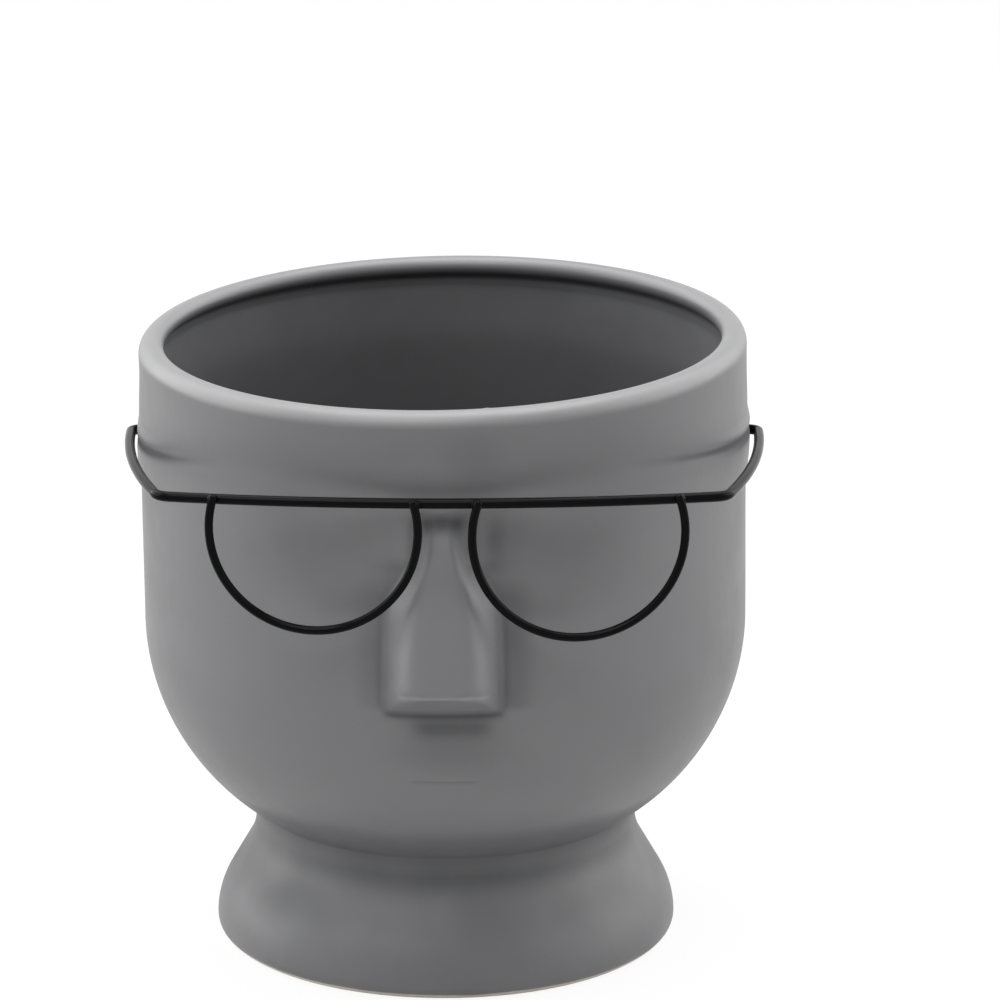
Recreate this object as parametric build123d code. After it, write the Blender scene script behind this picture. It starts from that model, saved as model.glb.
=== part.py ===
from build123d import *
import os
from math import asin, cos, degrees, hypot, radians, sin, sqrt

# A head-shaped plant pot with wire spectacles.
# Heights are from the table, +Z up. The pot's axis is Z and its face looks along -Y.
# Lengths are in millimetres, angles in degrees.

# Pot: outside of the head, from the foot up
head_radius = 90.0
foot_radius = 69.0
waist_inset = 11.6
foot_edge_radius = 4.5
flare_radius = 26.0
cove_radius = 16.5
flare_angle = 30.0
neck_height = 4.8
bowl_arc_radius = 69.2
straight_wall_height = 86.5
crease_round = 1.0

# Pot: wall, lip, floor and underside
wall = 6.5
lip_width = 7.5
lip_round_share = 0.49
lip_depth = 9.0
lip_blend_height = 3.5
lip_slope_angle = 1.06
cast_floor = 7.0
floor_round = 6.0
recess_depth = 4.0
foot_ring_width = 7.0
drain_radius = 8.0

# Pot: brow groove, nose and mouth, each placed down from the crest of the lip
temple_depth = 30.5
temple_hole_radius = 2.0
brow_groove_radius = 1.6
brow_groove_bite = 0.7
brow_fade_clearance = 0.2
brow_below_temple = 1.6
brow_rise_angle = 7.2
brow_start_angle = 88.0
brow_end_angle = 28.0
nose_depth = 28.5
nose_length = 51.5
nose_half_width = 13.1
nose_base_half_width = 16.9
nose_reach = 15.8
nose_edge_round = 1.2
nose_underside_rise = 8.0
mouth_depth = 112.0
mouth_half_width = 10.8
mouth_gap = 1.0
mouth_bite = 0.7

# Share of the nose's length, then of its front width, its base width and its reach
nose_section_shares = (
    (0.00, 0.20, 0.30, 0.03),
    (0.14, 0.24, 0.36, 0.22),
    (0.27, 0.37, 0.50, 0.37),
    (0.40, 0.76, 0.85, 0.52),
    (0.52, 0.87, 0.93, 0.63),
    (0.66, 0.96, 0.98, 0.75),
    (1.00, 1.00, 1.00, 1.00),
    (1.18, 1.00, 1.00, 1.12),
)

# Spectacles: bar and temples are one bent wire, hooked into the two temple holes
bar_wire_radius = 1.5
bar_clearance = 4.5
bar_rise_angle = 3.6
bar_bow_radius = 360.0
bar_corner_radius = 5.0
temple_gap = 1.5
temple_bow_radius = 300.0
hook_bend_radius = 3.0
hook_length = 5.0

# Spectacles: each lens rim is an open loop of thinner wire welded to the front of the bar
rim_wire_radius = 1.25
rim_spacing = 74.9
rim_shift = 1.05
rim_end_rise = 1.9
left_rim_radius = 29.9
left_rim_drop = 7.8
right_rim_radius = 30.5
right_rim_drop = 9.3
weld_radius = 1.75

# Stopper of the drain hole
plug_clearance = 0.05
plug_flange_radius = 13.0
plug_flange_height = 2.4
plug_stem_length = 9.0
plug_stem_taper = 0.5
plug_grip_radius = 4.0
plug_grip_height = 6.0
plug_edge_round = 0.8
plug_groove_radius = 1.2

# One overrun for every cut
overrun = 5.0

# Heights, radii and reaches worked out from the sizes above
waist_radius = foot_radius - waist_inset
flare_arc_run = (flare_radius + cove_radius) * (1 - cos(radians(flare_angle)))
flare_run = (foot_radius - waist_radius - flare_arc_run) / sin(radians(flare_angle))
cove_top = (
    foot_edge_radius
    + (flare_radius + cove_radius) * sin(radians(flare_angle))
    + flare_run * cos(radians(flare_angle))
)
crease_height = cove_top + neck_height
bowl_arc_centre = head_radius - bowl_arc_radius
bowl_arc_height = crease_height + sqrt(bowl_arc_radius**2 - (waist_radius - bowl_arc_centre) ** 2)
pot_height = bowl_arc_height + straight_wall_height
floor_height = recess_depth + cast_floor
temple_height = pot_height - temple_depth
bar_reach = head_radius + bar_clearance + bar_wire_radius


def side_outline(inset):
    """Edges of the wall's side from the foot up to the straight wall, moved inwards by inset."""
    slope = radians(flare_angle)
    flare_centre = (foot_radius - flare_radius, foot_edge_radius)
    flare = flare_radius - inset
    cove = cove_radius + inset
    cove_centre = (waist_radius + cove_radius, cove_top)
    waist = waist_radius - inset
    bowl = bowl_arc_radius - inset
    crease = bowl_arc_height - sqrt(bowl**2 - (waist - bowl_arc_centre) ** 2)
    flare_low = (flare_centre[0] + flare, flare_centre[1])
    flare_mid = (flare_centre[0] + flare * cos(slope / 2), flare_centre[1] + flare * sin(slope / 2))
    flare_high = (flare_centre[0] + flare * cos(slope), flare_centre[1] + flare * sin(slope))
    cove_low = (cove_centre[0] - cove * cos(slope), cove_centre[1] - cove * sin(slope))
    cove_mid = (cove_centre[0] - cove * cos(slope / 2), cove_centre[1] - cove * sin(slope / 2))
    cove_high = (waist, cove_centre[1])
    crease_point = (waist, crease)
    crease_turn = asin((bowl_arc_height - crease) / bowl) / 2
    bowl_mid = (bowl_arc_centre + bowl * cos(crease_turn), bowl_arc_height - bowl * sin(crease_turn))
    bowl_high = (bowl_arc_centre + bowl, bowl_arc_height)
    return [
        ThreePointArc(flare_low, flare_mid, flare_high),
        Line(flare_high, cove_low),
        ThreePointArc(cove_low, cove_mid, cove_high),
        Line(cove_high, crease_point),
        ThreePointArc(crease_point, bowl_mid, bowl_high),
    ]


def turned(edges):
    """Solid made by turning a closed outline of radius and height about the pot's axis."""
    face = make_face(Plane.XZ * Curve(edges))
    return revolve(face, Axis.Z)


def outer_body():
    """The head and its foot as a solid, up to the cut for the lip."""
    side = side_outline(0)
    top = pot_height + overrun
    foot_flat = foot_radius - foot_edge_radius
    corner_share = 1 - sqrt(0.5)
    edge_mid = (foot_radius - foot_edge_radius * corner_share, foot_edge_radius * corner_share)
    edges = [
        Line((0, 0), (foot_flat, 0)),
        ThreePointArc((foot_flat, 0), edge_mid, (foot_radius, foot_edge_radius)),
        *side,
        Line((head_radius, bowl_arc_height), (head_radius, top)),
        Line((head_radius, top), (0, top)),
        Line((0, top), (0, 0)),
    ]
    body = turned(edges)
    crease = body.edges().filter_by(GeomType.CIRCLE).sort_by(
        lambda edge: hypot(edge.center().Z - crease_height, edge.radius - waist_radius)
    )[0]
    return fillet(crease, crease_round)


def cavity():
    """The planting space, which follows the outside at one wall's thickness."""
    side = side_outline(wall)
    flare = flare_radius - wall
    floor_turn = asin((floor_height - foot_edge_radius) / flare)
    floor_radius = foot_radius - flare_radius + flare * cos(floor_turn)
    slope = radians(flare_angle)
    mid_turn = (floor_turn + slope) / 2
    flare_centre = (foot_radius - flare_radius, foot_edge_radius)
    flare_mid = (flare_centre[0] + flare * cos(mid_turn), flare_centre[1] + flare * sin(mid_turn))
    flare_high = (flare_centre[0] + flare * cos(slope), flare_centre[1] + flare * sin(slope))
    inner_radius = head_radius - wall
    lip_inner_radius = head_radius - lip_width
    lip_base = pot_height - lip_depth
    blend_base = lip_base - lip_blend_height
    top = pot_height + 2 * overrun
    edges = [
        Line((0, floor_height), (floor_radius, floor_height)),
        ThreePointArc((floor_radius, floor_height), flare_mid, flare_high),
        *side[1:],
        Line((inner_radius, bowl_arc_height), (inner_radius, blend_base)),
        Line((inner_radius, blend_base), (lip_inner_radius, lip_base)),
        Line((lip_inner_radius, lip_base), (lip_inner_radius, top)),
        Line((lip_inner_radius, top), (0, top)),
        Line((0, top), (0, floor_height)),
    ]
    space = turned(edges)
    floor_edge = space.edges().filter_by(GeomType.CIRCLE).sort_by(
        lambda edge: hypot(edge.center().Z - floor_height, edge.radius - floor_radius)
    )[0]
    return fillet(floor_edge, floor_round)


def nose():
    """The nose: lofted sections, cut below on a slope that runs back down to the face."""
    root = head_radius - wall * 2 / 3
    top = pot_height - nose_depth
    sections = []
    for length_share, front_share, base_share, reach_share in nose_section_shares:
        front = nose_half_width * front_share
        base = nose_base_half_width * base_share
        reach = head_radius + nose_reach * reach_share
        height = top - nose_length * length_share
        corners = [(-base, -root), (-front, -reach), (front, -reach), (base, -root)]
        section = make_face(Polyline(*corners, close=True))
        section = fillet(section.vertices().sort_by(Axis.Y)[:2], nose_edge_round)
        sections.append(Plane.XY.offset(height) * section)
    solid = loft(sections)
    tip_reach = head_radius + nose_reach
    tip_height = top - nose_length
    run = tip_reach - root
    below = [
        (-tip_reach - overrun, tip_height),
        (-tip_reach, tip_height),
        (-root, tip_height - nose_underside_rise),
        (-root + overrun, tip_height - nose_underside_rise),
        (-root + overrun, tip_height - run - nose_length),
        (-tip_reach - overrun, tip_height - run - nose_length),
    ]
    cut_face = Plane.YZ * make_face(Polyline(*below, close=True))
    return solid - extrude(cut_face, nose_base_half_width + overrun, both=True)


def brow_grooves():
    """Two crescent cutters, deep at the temples, that fade out towards the middle of the brow."""
    start = radians(brow_start_angle)
    end = radians(brow_end_angle)
    middle = (start + end) / 2
    near = head_radius + brow_groove_radius - brow_groove_bite
    far = head_radius + brow_groove_radius + brow_fade_clearance
    mean = (near + far) / 2
    height = temple_height - brow_below_temple
    brow_plane = Plane(
        origin=(0, 0, height),
        x_dir=(1, 0, 0),
        z_dir=(0, sin(radians(brow_rise_angle)), cos(radians(brow_rise_angle))),
    )
    cutters = []
    for side in (-1, 1):
        points = [
            (side * near * sin(start), -near * cos(start)),
            (side * mean * sin(middle), -mean * cos(middle)),
            (side * far * sin(end), -far * cos(end)),
        ]
        arc = brow_plane * ThreePointArc(*points)
        section = Plane(origin=arc @ 0, z_dir=arc % 0) * Circle(brow_groove_radius)
        cutters.append(sweep(section, path=arc))
        cutters.append(Pos(*(arc @ 0)) * Sphere(brow_groove_radius))
    return cutters


def mouth_slit():
    """A short closed mouth, cut as a shallow rounded slit."""
    height = pot_height - mouth_depth
    drop = bowl_arc_height - height
    face_radius = bowl_arc_centre + sqrt(bowl_arc_radius**2 - drop**2)
    slot = SlotOverall(2 * mouth_half_width, mouth_gap)
    face = Plane(origin=(0, -face_radius - overrun, height), x_dir=(1, 0, 0), z_dir=(0, 1, 0)) * slot
    bar = extrude(face, 2 * overrun)
    core = Pos(0, 0, height) * Cylinder(face_radius - mouth_bite, 4 * mouth_gap)
    return bar - core


def head_pot():
    """The ceramic pot: one cast shell with its lip, nose, brow, mouth, holes and foot ring."""
    body = outer_body() + nose()
    body = body - cavity()
    lip_plane = Plane(
        origin=(0, 0, pot_height),
        x_dir=(cos(radians(lip_slope_angle)), 0, sin(radians(lip_slope_angle))),
        z_dir=(-sin(radians(lip_slope_angle)), 0, cos(radians(lip_slope_angle))),
    )
    above = lip_plane * Pos(0, 0, 2 * overrun) * Cylinder(head_radius + 2 * overrun, 4 * overrun)
    body = body - above
    lip_edges = body.edges().filter_by(
        lambda edge: edge.center().Z > pot_height - lip_depth / 3 and edge.length > head_radius
    )
    body = fillet(lip_edges, lip_width * lip_round_share)
    recess_radius = foot_radius - foot_edge_radius - foot_ring_width
    recess = Cylinder(recess_radius, recess_depth + overrun)
    body = body - Pos(0, 0, (recess_depth - overrun) / 2) * recess
    body = body - Cylinder(drain_radius, 2 * (floor_height + overrun))
    holes = Cylinder(temple_hole_radius, 2 * (head_radius + overrun))
    body = body - Pos(0, 0, temple_height) * Rot(0, 90, 0) * holes
    for cutter in brow_grooves():
        body = body - cutter
    return body - mouth_slit()


def circle_meet(centre_a, radius_a, centre_b, radius_b):
    """The meeting point of two circles that lies furthest forward and to the +X side."""
    apart = hypot(centre_b[0] - centre_a[0], centre_b[1] - centre_a[1])
    along_x = (centre_b[0] - centre_a[0]) / apart
    along_y = (centre_b[1] - centre_a[1]) / apart
    along = (apart**2 + radius_a**2 - radius_b**2) / (2 * apart)
    across = sqrt(radius_a**2 - along**2)
    points = []
    for side in (-1, 1):
        x = centre_a[0] + along * along_x + side * across * along_y
        y = centre_a[1] + along * along_y - side * across * along_x
        points.append((x, y))
    return max(points)


def toward(start, end, distance):
    """The point on the line from start to end at a distance from start."""
    length = hypot(end[0] - start[0], end[1] - start[1])
    return (
        start[0] + (end[0] - start[0]) * distance / length,
        start[1] + (end[1] - start[1]) * distance / length,
    )


def arc_between(centre, radius, start, end):
    """An arc about centre from start to end, the short way round."""
    middle = toward(centre, ((start[0] + end[0]) / 2, (start[1] + end[1]) / 2), radius)
    return ThreePointArc(start, middle, end)


# Plan of the bar and temples: X is to the side, the second value is forward of the hinge line
temple_side = head_radius + temple_gap + bar_wire_radius
bar_centre = (0, bar_reach - bar_bow_radius)
temple_centre = (temple_side - temple_bow_radius, hook_bend_radius)


def wire_half():
    """Edges of the right half of the bar wire, from its hook to the middle of the bar."""
    corner = circle_meet(
        bar_centre, bar_bow_radius - bar_corner_radius, temple_centre, temple_bow_radius - bar_corner_radius
    )
    hook_end = (head_radius - hook_length, 0)
    bend_start = (temple_side - hook_bend_radius, 0)
    bend_end = (temple_side, hook_bend_radius)
    temple_end = toward(temple_centre, corner, temple_bow_radius)
    bar_start = toward(bar_centre, corner, bar_bow_radius)
    return [
        Line(hook_end, bend_start),
        arc_between((bend_start[0], hook_bend_radius), hook_bend_radius, bend_start, bend_end),
        arc_between(temple_centre, temple_bow_radius, bend_end, temple_end),
        arc_between(corner, bar_corner_radius, temple_end, bar_start),
        arc_between(bar_centre, bar_bow_radius, bar_start, (0, bar_reach)),
    ]


def glasses_plane():
    """The plane of the bar and temples, through the hinge line and rising towards the front."""
    rise = radians(bar_rise_angle)
    return Plane(origin=(0, 0, temple_height), x_dir=(1, 0, 0), z_dir=(0, -sin(rise), -cos(rise)))


def brow_wire():
    """The bar with its two temples and inward hooks, bent from one wire."""
    half = [glasses_plane() * edge for edge in wire_half()]
    path = Wire(half + [edge.mirror(Plane.YZ) for edge in half])
    section = Plane(origin=path @ 0, z_dir=path % 0) * Circle(bar_wire_radius)
    return sweep(section, path=path)


def bar_point(x):
    """The place on the bar's centre line at one X."""
    forward = bar_centre[1] + sqrt(bar_bow_radius**2 - x**2)
    rise = radians(bar_rise_angle)
    return Vector(x, -forward * cos(rise), temple_height + forward * sin(rise))


def rim_places(side, radius, drop):
    """Where one rim crosses the bar, its centre, and the directions along it and out of its front."""
    middle = side * rim_spacing / 2 + rim_shift
    half_chord = sqrt(radius**2 - drop**2)
    ends = [bar_point(middle - half_chord), bar_point(middle + half_chord)]
    across = Vector(ends[1].X - ends[0].X, ends[1].Y - ends[0].Y, 0).normalized()
    front = Vector(across.Y, -across.X, 0)
    mean = (ends[0] + ends[1]) * 0.5
    centre = Vector(mean.X, mean.Y, mean.Z - drop) + front * (bar_wire_radius + rim_wire_radius)
    return ends, centre, across, front


def lens_rim(side, radius, drop):
    """An open wire loop whose two ends reach a little above the bar."""
    ends, centre, across, front = rim_places(side, radius, drop)
    end_angle = degrees(asin((drop + rim_end_rise) / radius))
    rim_plane = Plane(origin=centre, x_dir=across, z_dir=front)
    start = centre + across * (radius * cos(radians(end_angle))) + Vector(0, 0, drop + rim_end_rise)
    tangent = across * sin(radians(end_angle)) - Vector(0, 0, cos(radians(end_angle)))
    section = Plane(origin=start, z_dir=tangent) * Circle(rim_wire_radius)
    return revolve(section, Axis(centre, front), -(180 + 2 * end_angle))


def weld_beads():
    """A bead of weld where each end of each rim crosses the bar."""
    beads = []
    for side, radius, drop in ((-1, left_rim_radius, left_rim_drop), (1, right_rim_radius, right_rim_drop)):
        ends, centre, across, front = rim_places(side, radius, drop)
        for end in ends:
            place = end + front * bar_wire_radius
            beads.append(Pos(*place) * Sphere(weld_radius))
    return Compound(children=beads)


def drain_plug():
    """The soft stopper: a tapered stem in the drain hole, a flange on the pot's floor and a grip."""
    stem_radius = drain_radius - plug_clearance
    stem_end = floor_height - plug_stem_length
    flange_top = floor_height + plug_flange_height
    outline = [
        (0, stem_end),
        (stem_radius - plug_stem_taper, stem_end),
        (stem_radius, floor_height),
        (plug_flange_radius, floor_height),
        (plug_flange_radius, flange_top),
        (plug_grip_radius, flange_top),
        (plug_grip_radius, flange_top + plug_grip_height),
        (0, flange_top + plug_grip_height),
    ]
    body = turned([Polyline(*outline, close=True)])
    circles = body.edges().filter_by(GeomType.CIRCLE).group_by(Axis.Z)
    body = fillet([circles[-1][0], circles[-2].sort_by(SortBy.RADIUS)[-1]], plug_edge_round)
    pull = Pos(0, 0, flange_top + plug_grip_height / 2) * Rot(0, 90, 0)
    return body - pull * Cylinder(plug_groove_radius, 3 * plug_grip_radius)


def main():
    """Write each piece to its own file."""
    os.makedirs("parts", exist_ok=True)
    pieces = {
        "head_pot": head_pot(),
        "brow_wire": brow_wire(),
        "left_lens_rim": lens_rim(-1, left_rim_radius, left_rim_drop),
        "right_lens_rim": lens_rim(1, right_rim_radius, right_rim_drop),
        "weld_beads": weld_beads(),
        "drain_plug": drain_plug(),
    }
    for name, solid in pieces.items():
        export_step(solid, f"parts/{name}.step")
        print(name, round(solid.volume, 1))


main()
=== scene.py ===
"""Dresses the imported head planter: a glazed pot with a face, wire spectacles and a drain stopper."""

from __future__ import annotations

import logging
import math
from dataclasses import dataclass
from enum import Enum
from functools import cached_property
from typing import Callable, Sequence

import bpy
import numpy as np
from bpy.types import Material, Mesh, Modifier, Node, NodeTree, Object
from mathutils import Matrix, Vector


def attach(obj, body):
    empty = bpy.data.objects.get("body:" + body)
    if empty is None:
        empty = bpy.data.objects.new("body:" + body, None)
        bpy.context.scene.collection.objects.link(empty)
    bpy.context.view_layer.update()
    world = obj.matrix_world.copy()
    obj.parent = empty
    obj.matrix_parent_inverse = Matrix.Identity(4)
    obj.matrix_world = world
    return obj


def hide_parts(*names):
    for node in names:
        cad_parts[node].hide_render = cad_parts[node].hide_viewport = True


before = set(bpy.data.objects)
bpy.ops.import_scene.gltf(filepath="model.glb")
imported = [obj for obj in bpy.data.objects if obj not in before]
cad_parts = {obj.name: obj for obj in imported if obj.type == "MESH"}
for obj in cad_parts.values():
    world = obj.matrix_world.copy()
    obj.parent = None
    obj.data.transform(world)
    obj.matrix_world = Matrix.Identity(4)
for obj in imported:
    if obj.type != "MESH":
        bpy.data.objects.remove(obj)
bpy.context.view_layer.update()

LOG = logging.getLogger("head_planter")
MM = 0.001
WHITE = (1.0, 1.0, 1.0, 1.0)
Array = np.ndarray
Socket = bpy.types.NodeSocket


class Body(str, Enum):
    """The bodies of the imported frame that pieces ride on."""

    POT = "pot"
    SPECTACLES = "spectacles"
    STOPPER = "stopper"


class Slot(str, Enum):
    """The record's material slots."""

    GLAZE = "grey_glaze"
    WIRE = "black_wire"
    SILICONE = "stopper_silicone"


class Side(Enum):
    """The two sides of the face, by the sign of X."""

    LEFT = -1
    RIGHT = 1


# Small number tools


def ramp(values: Array, low: float, high: float) -> Array:
    """Eases from 0 at the first number to 1 at the second, which may be the smaller of the two."""
    share = np.clip((values - low) / (high - low), 0.0, 1.0)
    return share * share * (3.0 - 2.0 * share)


def window(values: Array, start: float, full: float, last: float, end: float) -> Array:
    """Rises smoothly to 1 between the first two numbers and falls between the last two."""
    return ramp(values, start, full) * ramp(values, end, last)


def soft_min(first: Array, second: Array | float, blend: float) -> Array:
    """The smaller of two surfaces, with their meeting edge rounded over about the blend's size."""
    share = np.clip(0.5 + 0.5 * (second - first) / blend, 0.0, 1.0)
    return second * (1.0 - share) + first * share - blend * share * (1.0 - share)


def hump(values: Array, centre: float | Array, half_width: float) -> Array:
    """A bell of height 1 about a centre, with its half width as its spread."""
    return np.exp(-(((values - centre) / half_width) ** 2))


def spots(across: Array, height: Array, table: Sequence[tuple]) -> Array:
    """Adds up soft round spots, each a row of strength, X, half width, Z and half height."""
    return sum(size * hump(across, x, wide) * hump(height, z, tall) for size, x, wide, z, tall in table)


def arc_points(centre: Sequence[float], radius: float, start: float, end: float) -> list:
    """Points about 0.15 apart along an arc, from one angle in degrees to another."""
    turns = np.linspace(start, end, max(2, int(abs(math.radians(end - start)) * radius / 0.15) + 1))
    return [(centre[0] + radius * math.cos(a), centre[1] + radius * math.sin(a)) for a in np.radians(turns)]


def run_lengths(points: Array) -> Array:
    """How far along a line each of its points lies."""
    return np.concatenate([[0.0], np.cumsum(np.linalg.norm(np.diff(points, axis=0), axis=1))])


def at_marks(marks: Array, runs: Array, points: Array) -> Array:
    """The places on a line at given runs along it."""
    return np.stack([np.interp(marks, runs, column) for column in points.T], axis=1)


def resample(points: Array, spacing: Callable[[Array], Array] | float) -> Array:
    """Spreads points along a line with a spacing that may depend on the place.

    Args:
        points: The dense line, one row per point.
        spacing: The wanted distance between points, or what gives it at each given point.

    Returns:
        The new points, with the line's own ends.
    """
    gaps = spacing(0.5 * (points[1:] + points[:-1])) if callable(spacing) else spacing
    runs = np.linalg.norm(np.diff(points, axis=0), axis=1)
    total = np.concatenate([[0.0], np.cumsum(runs * (1.0 / gaps))])
    return at_marks(np.linspace(0.0, total[-1], int(total[-1]) + 2), total, points)


def running_mean(padded: Array, weights: Array) -> Array:
    """The weighted running mean of each column of a table whose ends are already padded."""
    share = weights / weights.sum()
    return np.stack([np.convolve(column, share, mode="valid") for column in padded.T], axis=1)


def rounded(points: Array, spread: float) -> Array:
    """Softens the corners of a closed line, as glaze does.

    Args:
        points: The line, whose last point is its first.
        spread: How far the softening reaches.

    Returns:
        The softened closed line, with points 0.1 apart.
    """
    step = 0.1
    dense = resample(points, step)[:-1]
    reach = int(4 * spread / step)
    weights = np.exp(-0.5 * (np.arange(-reach, reach + 1) * step / spread) ** 2)
    soft = running_mean(np.concatenate([dense[-reach:], dense, dense[:reach]]), weights)
    return np.concatenate([soft, soft[:1]])


# Node trees


class Tree:
    """A thin builder over a node tree, for materials and geometry alike."""

    def __init__(self, tree: NodeTree) -> None:
        """Starts a builder on a node tree."""
        self.tree = tree
        self.column = 0

    def add(self, kind: str, inputs: dict | None = None, **settings: object) -> Node:
        """Adds a node.

        Args:
            kind: The node's type name.
            inputs: Values or sockets for its inputs, by name or number.
            settings: Properties of the node.

        Returns:
            The new node.
        """
        node = self.tree.nodes.new(kind)
        self.column += 1
        node.location = (180 * self.column, -60 * (self.column % 5))
        for name, value in settings.items():
            setattr(node, name, value)
        for key, value in (inputs or {}).items():
            if isinstance(value, Socket):
                self.tree.links.new(value, node.inputs[key])
            else:
                node.inputs[key].default_value = value
        return node

    def first(self, kind: str, inputs: dict | None = None, **settings: object) -> Socket:
        """Adds a node as add does and returns its first output."""
        return self.add(kind, inputs, **settings).outputs[0]

    def math(self, operation: str, *values: object) -> Socket:
        """Adds a Math node on numbers or sockets and returns its result."""
        return self.first("ShaderNodeMath", dict(enumerate(values)), operation=operation)

    def mix_colour(self, share: object, first: object, second: object) -> Socket:
        """Mixes two colours by a share and returns the colour socket."""
        return self.add("ShaderNodeMix", {0: share, 6: first, 7: second}, data_type="RGBA").outputs[2]

    def remap(self, value: object, low: float, high: float, to_low: float, to_high: float) -> Socket:
        """Maps a range of a value onto another, clamped, and returns the socket."""
        return self.first("ShaderNodeMapRange", {0: value, 1: low, 2: high, 3: to_low, 4: to_high})


class Surface(Tree):
    """A new node material and the ways to shape its shader."""

    def __init__(self, name: str) -> None:
        """Makes the material.

        Args:
            name: Its name.
        """
        self.material = bpy.data.materials.new(name)
        self.material.use_nodes = True
        super().__init__(self.material.node_tree)
        self.shader = self.tree.nodes["Principled BSDF"]

    @cached_property
    def place(self) -> Socket:
        """The object's own coordinates."""
        return self.add("ShaderNodeTexCoord").outputs["Object"]

    def noise(self, scale: float, detail: float) -> Socket:
        """Adds noise on the object's own coordinates and returns its value."""
        return self.first("ShaderNodeTexNoise", {"Vector": self.place, "Scale": scale, "Detail": detail})

    def bump(self, distance: float, height: Socket, normal: Socket | None = None) -> Socket:
        """Adds a bump, on top of another's normal if that is given, and returns its normal."""
        inputs = {"Strength": 1.0, "Distance": distance, "Height": height}
        return self.first("ShaderNodeBump", inputs | ({"Normal": normal} if normal else {}))

    def feed(self, **sockets: Socket) -> None:
        """Links sockets to the shader's inputs, named with _ for a space."""
        for name, socket in sockets.items():
            self.tree.links.new(socket, self.shader.inputs[name.replace("_", " ")])


# Finishes


@dataclass(frozen=True)
class GlazeFinish:
    """Satin grey glaze that stops above the foot: lighter where it breaks over edges and the lip, darker
    where it pools in creases, and both also as painted highlights and painted shade.
    """

    colour: tuple = (0.107, 0.107, 0.111, 1.0)
    # Thin glaze and painted highlights are lighter; pooled glaze and painted shade are darker.
    thin_and_highlight_colour: tuple = (0.150, 0.150, 0.153, 1.0)
    pooled_and_shade_colour: tuple = (0.036, 0.036, 0.039, 1.0)
    speck_colour: tuple = (0.05, 0.05, 0.052, 1.0)
    clay: tuple = (0.50, 0.46, 0.40, 1.0)
    pale_clay: tuple = (0.54, 0.49, 0.42, 1.0)
    roughness: float = 0.46
    pooled_and_shade_roughness: float = 0.3
    clay_roughness: float = 0.85
    ior: float = 1.6
    glaze_line: float = 2.35 * MM
    line_blur: float = 0.25 * MM
    line_waver: float = 0.9 * MM
    patch_share: float = 0.25
    mottle_scale: float = 55.0
    speck_scale: float = 260.0
    grain_scale: float = 900.0
    ripple_scale: float = 210.0
    ripple_height: float = 0.05 * MM
    grain_height: float = 0.008 * MM

    def material(self) -> Material:
        """Builds the glaze, with bare clay under the glaze line.

        Returns:
            The material.
        """
        tree = Surface("satin_grey_glaze")
        mottle, cloud = tree.noise(self.mottle_scale, 5.0), tree.noise(self.mottle_scale / 6, 2.0)
        grain = tree.noise(self.grain_scale, 2.0)
        # The shell's mark holds glaze thickness together with painted highlights and painted shade.
        break_and_painted_light = tree.add("ShaderNodeAttribute", attribute_name="glaze_break").outputs["Fac"]
        patch = tree.math("MULTIPLY", tree.math("ADD", mottle, cloud), self.patch_share)
        thin_and_highlight = tree.remap(tree.math("ADD", break_and_painted_light, patch), 0.40, 1.05, 0.0, 1.0)
        pooled_and_shade = tree.remap(tree.math("SUBTRACT", break_and_painted_light, patch), -0.27, -1.2, 0.0, 1.0)
        glazed = tree.mix_colour(thin_and_highlight, self.colour, self.thin_and_highlight_colour)
        glazed = tree.mix_colour(pooled_and_shade, glazed, self.pooled_and_shade_colour)
        speck = tree.first("ShaderNodeTexVoronoi", {"Vector": tree.place, "Scale": self.speck_scale})
        glazed = tree.mix_colour(tree.remap(speck, 0.045, 0.085, 0.22, 0.0), glazed, self.speck_colour)
        height = tree.add("ShaderNodeSeparateXYZ", {0: tree.place}).outputs["Z"]
        edge = tree.math("ADD", height, tree.math("MULTIPLY", mottle, self.line_waver))
        bare = tree.remap(edge, self.glaze_line, self.glaze_line + self.line_blur, 1.0, 0.0)
        colour = tree.mix_colour(bare, glazed, tree.mix_colour(grain, self.clay, self.pale_clay))
        satin = tree.remap(mottle, 0.3, 0.7, self.roughness - 0.035, self.roughness + 0.035)
        satin = tree.math("ADD", satin, tree.math("MULTIPLY", pooled_and_shade, self.pooled_and_shade_roughness))
        rough = tree.first("ShaderNodeMix", {0: bare, 2: satin, 3: self.clay_roughness})
        tree.shader.inputs["IOR"].default_value = self.ior
        waves = tree.bump(self.ripple_height, tree.noise(self.ripple_scale, 2.0))
        tree.feed(Base_Color=colour, Roughness=rough, Normal=tree.bump(self.grain_height, grain, waves))
        return tree.material


@dataclass(frozen=True)
class CoatFinish:
    """A plain coat with a fine bump, whose tint and roughness vary a little from place to place."""

    name: str
    colour: tuple
    worn_colour: tuple
    roughness: tuple
    gloss: float
    patch_scale: float
    patch_detail: float
    bump_scale: float
    bump_height: float

    def material(self) -> Material:
        """Builds the coat.

        Returns:
            The material.
        """
        tree = Surface(self.name)
        patch = tree.noise(self.patch_scale, self.patch_detail)
        tint = tree.mix_colour(patch, self.colour, self.worn_colour)
        rough = tree.remap(patch, 0.3, 0.7, *self.roughness)
        tree.shader.inputs["Specular IOR Level"].default_value = self.gloss
        skin = tree.bump(self.bump_height, tree.noise(self.bump_scale, 2.0))
        tree.feed(Base_Color=tint, Roughness=rough, Normal=skin)
        return tree.material


@dataclass(frozen=True)
class WireFinish(CoatFinish):
    """Black powder coat on steel wire, with the fine texture that such a coat has."""

    name: str = "black_powder_coat"
    colour: tuple = (0.0012, 0.0012, 0.0013, 1.0)
    worn_colour: tuple = (0.0025, 0.0025, 0.0028, 1.0)
    roughness: tuple = (0.15, 0.25)
    gloss: float = 0.055
    patch_scale: float = 1600.0 / 12
    patch_detail: float = 3.0
    bump_scale: float = 1600.0
    bump_height: float = 0.006 * MM


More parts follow.
